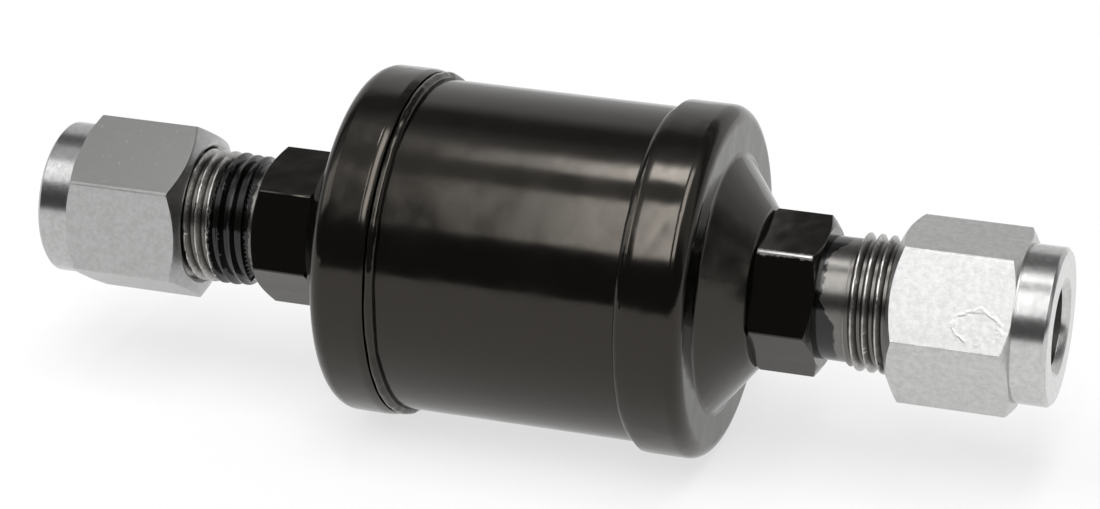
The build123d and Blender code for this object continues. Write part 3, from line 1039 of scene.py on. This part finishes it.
def bead_tree():
    """A bead along a circle about the X axis, with ripples and lumps from seeded noise."""
    tree, given = open_tree("lay_bead", False, BEAD_SIZES, "Bead")
    circle = add_node(tree, "GeometryNodeCurvePrimitiveCircle", {
        "Resolution": BEAD_STEPS, "Radius": given["Ring radius"],
    })
    section = add_node(tree, "GeometryNodeCurvePrimitiveCircle", {
        "Resolution": BEAD_SIDES, "Radius": given["Bead radius"],
    })
    tube = add_node(tree, "GeometryNodeCurveToMesh", {
        "Curve": circle.outputs[0], "Profile Curve": section.outputs[0],
    })
    lumps = add_node(tree, "ShaderNodeTexNoise", {
        "Scale": given["Lumps per metre"], "W": given["Seed"], "Detail": 2.0, "Roughness": 0.5,
    }, noise_dimensions="4D").outputs[0]
    centred = add_node(tree, "ShaderNodeMath", {0: lumps, 1: 0.5}, operation="SUBTRACT").outputs[0]
    push = add_node(tree, "ShaderNodeMath", {
        0: centred, 1: given["Lump height"],
    }, operation="MULTIPLY").outputs[0]
    outwards = add_node(tree, "GeometryNodeInputNormal").outputs[0]
    offset = add_node(tree, "ShaderNodeVectorMath", {
        0: outwards, "Scale": push,
    }, operation="SCALE").outputs[0]
    lumpy = add_node(tree, "GeometryNodeSetPosition", {
        "Geometry": tube.outputs[0], "Offset": offset,
    })
    station = add_node(tree, "ShaderNodeCombineXYZ", {"X": given["Station"]})
    placed = add_node(tree, "GeometryNodeTransform", {
        "Geometry": lumpy.outputs[0], "Translation": station.outputs[0],
        "Rotation": (0.0, math.pi / 2, 0.0),
    })
    close_tree(tree, placed.outputs[0], given["Finish"])
    return tree


lay_bead = bead_tree()
print("bead tree:", lay_bead.name)

# %% [markdown]
# ### Laying the two beads
# A bead sits in the corner between the skirt's edge and the shell, so its station and its ring are
# both measured from there, in millimetres.

# %% Weld beads
BEAD_LUMPS_PER_METRE = 260.0
BEADS = {
    "inlet": {"off_edge": 0.60, "rise": 0.20, "radius": 0.62, "lump": 0.45, "seed": 3.0},
    "outlet": {"off_edge": 0.35, "rise": -0.45, "radius": 0.90, "lump": 0.20, "seed": 7.0},
}
shell_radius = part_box("shell")[1][2]


def weld_bead(end):
    """Bead between a skirt and the shell, under the same enamel."""
    size = BEADS[end]
    name = end + "_weld_bead"
    piece = grow(name, lay_bead, bpy.data.meshes.new(name), {
        "Station": SIDE[end] * (skirt_edge_x - size["off_edge"] * MM),
        "Ring radius": shell_radius + size["rise"] * MM, "Bead radius": size["radius"] * MM,
        "Lump height": size["lump"] * MM, "Lumps per metre": BEAD_LUMPS_PER_METRE,
        "Seed": size["seed"], "Finish": enamel,
    })
    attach(piece, "body")
    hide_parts(end + "_lap_weld")
    return piece


for end in ("inlet", "outlet"):
    bead = weld_bead(end)
    print(bead.name, "faces:", len(bead.data.polygons))

# %% [markdown]
# ## Dressing the remaining nodes
# The other nodes already have the right shape, so they only get their finish. A copy could carry
# it, but a material in the node's own slots leaves its mesh as it was built.

# %% Finishes of the carried-over nodes
node_finishes = {
    "shell": enamel,
    "inlet_fitting_braze": braze_filler,
    "outlet_fitting_braze": braze_filler,
    "inlet_seal_bonnet": tinned_copper,
    "outlet_seal_bonnet": tinned_copper,
    "desiccant_core": moulded_desiccant,
    "core_seal_ring": needled_felt,
    "filter_pad": needled_felt,
    "outlet_screen": woven_screen,
    "support_plate": plain_steel,
    "spring_plate": plain_steel,
    "core_spring": plain_steel,
}
for node, finish in node_finishes.items():
    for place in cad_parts[node].material_slots:
        place.material = finish
print("dressed nodes:", len(node_finishes))

# %% [markdown]
# ## The studio floor
# The drier lies on a white table. A modelled backdrop with a curved corner would do, but the floor
# is the only thing that the camera sees, so one large sheet is enough. It is matt, so the shadow
# stays soft, and a share of plain white is added for rays that look at it or mirror it, which
# brings it to white without more light on the metal.

# %% Floor
FLOOR_SIZE = 6.0
WHITE_SHARE = 0.7
PAPER = ("#f8f8f8", "#fcfcfc")
FIBRES_PER_MM = 0.5
WHITE = (1.0, 1.0, 1.0, 1.0)
floor_z = cad_box[0][2]


def floor_finish():
    """White paper: matt, and lifted to full white for whatever looks at it."""
    material, tree, shader, millimetres = new_finish("white_paper")
    fibres = add_node(tree, "ShaderNodeTexNoise", {
        "Vector": millimetres, "Scale": FIBRES_PER_MM, "Detail": 3.0,
    }).outputs[0]
    tone = add_node(tree, "ShaderNodeMix", {
        "Factor": fibres, "A": linear(PAPER[0]), "B": linear(PAPER[1]),
    }, data_type="RGBA").outputs["Result"]
    set_inputs(tree, shader, {"Base Color": tone, "Roughness": 1.0, "Specular IOR Level": 0.0})
    path = add_node(tree, "ShaderNodeLightPath").outputs
    mirrored = add_node(tree, "ShaderNodeMath", {
        0: path["Is Glossy Ray"], 1: path["Is Transmission Ray"],
    }, operation="MAXIMUM").outputs[0]
    looked_at = add_node(tree, "ShaderNodeMath", {
        0: path["Is Camera Ray"], 1: mirrored,
    }, operation="MAXIMUM").outputs[0]
    lift = add_node(tree, "ShaderNodeMath", {
        0: looked_at, 1: WHITE_SHARE,
    }, operation="MULTIPLY").outputs[0]
    white = add_node(tree, "ShaderNodeEmission", {"Color": WHITE})
    mixed = add_node(tree, "ShaderNodeMixShader", {0: lift, 1: shader.outputs[0], 2: white.outputs[0]})
    set_inputs(tree, tree.nodes["Material Output"], {"Surface": mixed.outputs[0]})
    return material


half = FLOOR_SIZE / 2
floor_mesh = bpy.data.meshes.new("floor")
floor_mesh.from_pydata(
    [(-half, -half, floor_z), (half, -half, floor_z), (half, half, floor_z), (-half, half, floor_z)],
    [], [(0, 1, 2, 3)],
)
floor = piece_from("floor", floor_mesh)
floor.data.materials.append(floor_finish())
print("floor at", round(floor_z / MM, 2), "mm")

# %% [markdown]
# ## A room painted on the sky
# Black enamel shows its surroundings more than itself, so they are planned with care: a darker side
# where the camera stands, pale walls behind, a large softbox in front, a broad one towards the
# outlet, a bright strip overhead and a dim one for the inlet's nut. Two grey flags take light away
# where a flat would be too bright. Lamps would light the two ends differently, because they are
# near. A box painted on the world lights and mirrors alike from every place on the drier.
#
# Two numbers say where a ray looks: the height angle, which climbs from the front horizon (0
# degrees) over the zenith (90) to the back horizon (180), and the part of its direction that points
# along the drier's axis. Each box is a window in both.

# %% Studio
ROOM_LEVELS = (
    (-10, 0.07), (40, 0.08), (62, 0.55), (94, 0.60), (101, 0.70), (108, 0.40),
    (116, 0.16), (128, 0.14), (140, 0.70), (190, 0.80),
)
BOXES = {
    "front softbox": ((-0.318, -0.240, -0.235, -0.195), (33, 36, 68, 73), 9.0),
    "outlet softbox": ((-0.04, 0.02, 0.22, 0.30), (34, 38, 92, 100), 6.0),
    "overhead strip": ((-0.310, -0.240, -0.235, -0.195), (85, 89, 94, 102), 15.0),
    "inlet softbox": ((-0.95, -0.88, -0.425, -0.385), (40, 46, 74, 82), 1.6),
    "outlet flag": ((-0.24, -0.225, 0.90, 0.95), (130, 138, 144, 152), -0.45),
    "inlet flag": ((-0.95, -0.85, -0.41, -0.385), (84, 94, 104, 122), -0.25),
}


def room_light(tree, height):
    """Light of the walls and the ceiling by height angle."""
    lowest, highest = ROOM_LEVELS[0][0], ROOM_LEVELS[-1][0]
    place = add_node(tree, "ShaderNodeMapRange", {
        "Value": height, "From Min": lowest, "From Max": highest,
    })
    ramp = add_node(tree, "ShaderNodeValToRGB", {0: place.outputs[0]})
    stops = ramp.color_ramp.elements
    while len(stops) < len(ROOM_LEVELS):
        stops.new(0.5)
    for stop, (angle, level) in zip(stops, ROOM_LEVELS):
        stop.position = (angle - lowest) / (highest - lowest)
        stop.color = (level, level, level, 1.0)
    return ramp.outputs[0]


def studio_world():
    """The room with its softboxes added and its flags taken away."""
    world = bpy.data.worlds.new("studio_room")
    world.use_nodes = True
    tree = world.node_tree
    direction = add_node(tree, "ShaderNodeTexCoord").outputs["Generated"]
    part = add_node(tree, "ShaderNodeSeparateXYZ", {0: direction}).outputs
    forward = add_node(tree, "ShaderNodeMath", {0: part["Y"], 1: -1.0}, operation="MULTIPLY").outputs[0]
    turn = add_node(tree, "ShaderNodeMath", {0: part["Z"], 1: forward}, operation="ARCTAN2").outputs[0]
    height = add_node(tree, "ShaderNodeMath", {0: turn}, operation="DEGREES").outputs[0]
    total = room_light(tree, height)
    for along, heights, radiance in BOXES.values():
        shape = add_node(tree, "ShaderNodeMath", {
            0: window(tree, part["X"], *along), 1: window(tree, height, *heights),
        }, operation="MULTIPLY").outputs[0]
        total = add_node(tree, "ShaderNodeMath", {
            0: shape, 1: radiance, 2: total,
        }, operation="MULTIPLY_ADD").outputs[0]
    set_inputs(tree, tree.nodes["Background"], {"Color": WHITE, "Strength": total})
    return world


bpy.context.scene.world = studio_world()
print("painted in the room:", ", ".join(BOXES))

# %% [markdown]
# ## The camera
# A long lens keeps the can's edges nearly parallel, where a wide one would swell the nearer nut. It
# stands a little to the outlet's side and looks down at about 24 degrees. The focal length was
# chosen in the pixels of a picture 1100 by 509 pixels.

# %% Camera
AZIMUTH = math.radians(18.396)
ELEVATION = math.radians(23.603)
CAMERA_DISTANCE = 416.75 * MM
AIM = Vector((0.43, 0.0, 0.645)) * MM
IMAGE_WIDTH = 1100
FOCAL_PIXELS = 3561.9
SENSOR_WIDTH = 36.0
NEAREST = 0.01

backwards = Vector((
    math.sin(AZIMUTH) * math.cos(ELEVATION),
    -math.cos(AZIMUTH) * math.cos(ELEVATION),
    math.sin(ELEVATION),
))
camera_data = bpy.data.cameras.new("camera")
camera_data.sensor_fit = "HORIZONTAL"
camera_data.sensor_width = SENSOR_WIDTH
camera_data.lens = FOCAL_PIXELS / IMAGE_WIDTH * SENSOR_WIDTH
camera_data.clip_start = NEAREST
camera = bpy.data.objects.new("camera", camera_data)
bpy.context.scene.collection.objects.link(camera)
standing = Matrix.Translation(AIM + backwards * CAMERA_DISTANCE)
camera.matrix_world = standing @ backwards.to_track_quat("Z", "Y").to_matrix().to_4x4()
bpy.context.scene.camera = camera
bpy.context.scene.view_settings.view_transform = "Standard"
print("lens:", round(camera_data.lens, 2), "mm")
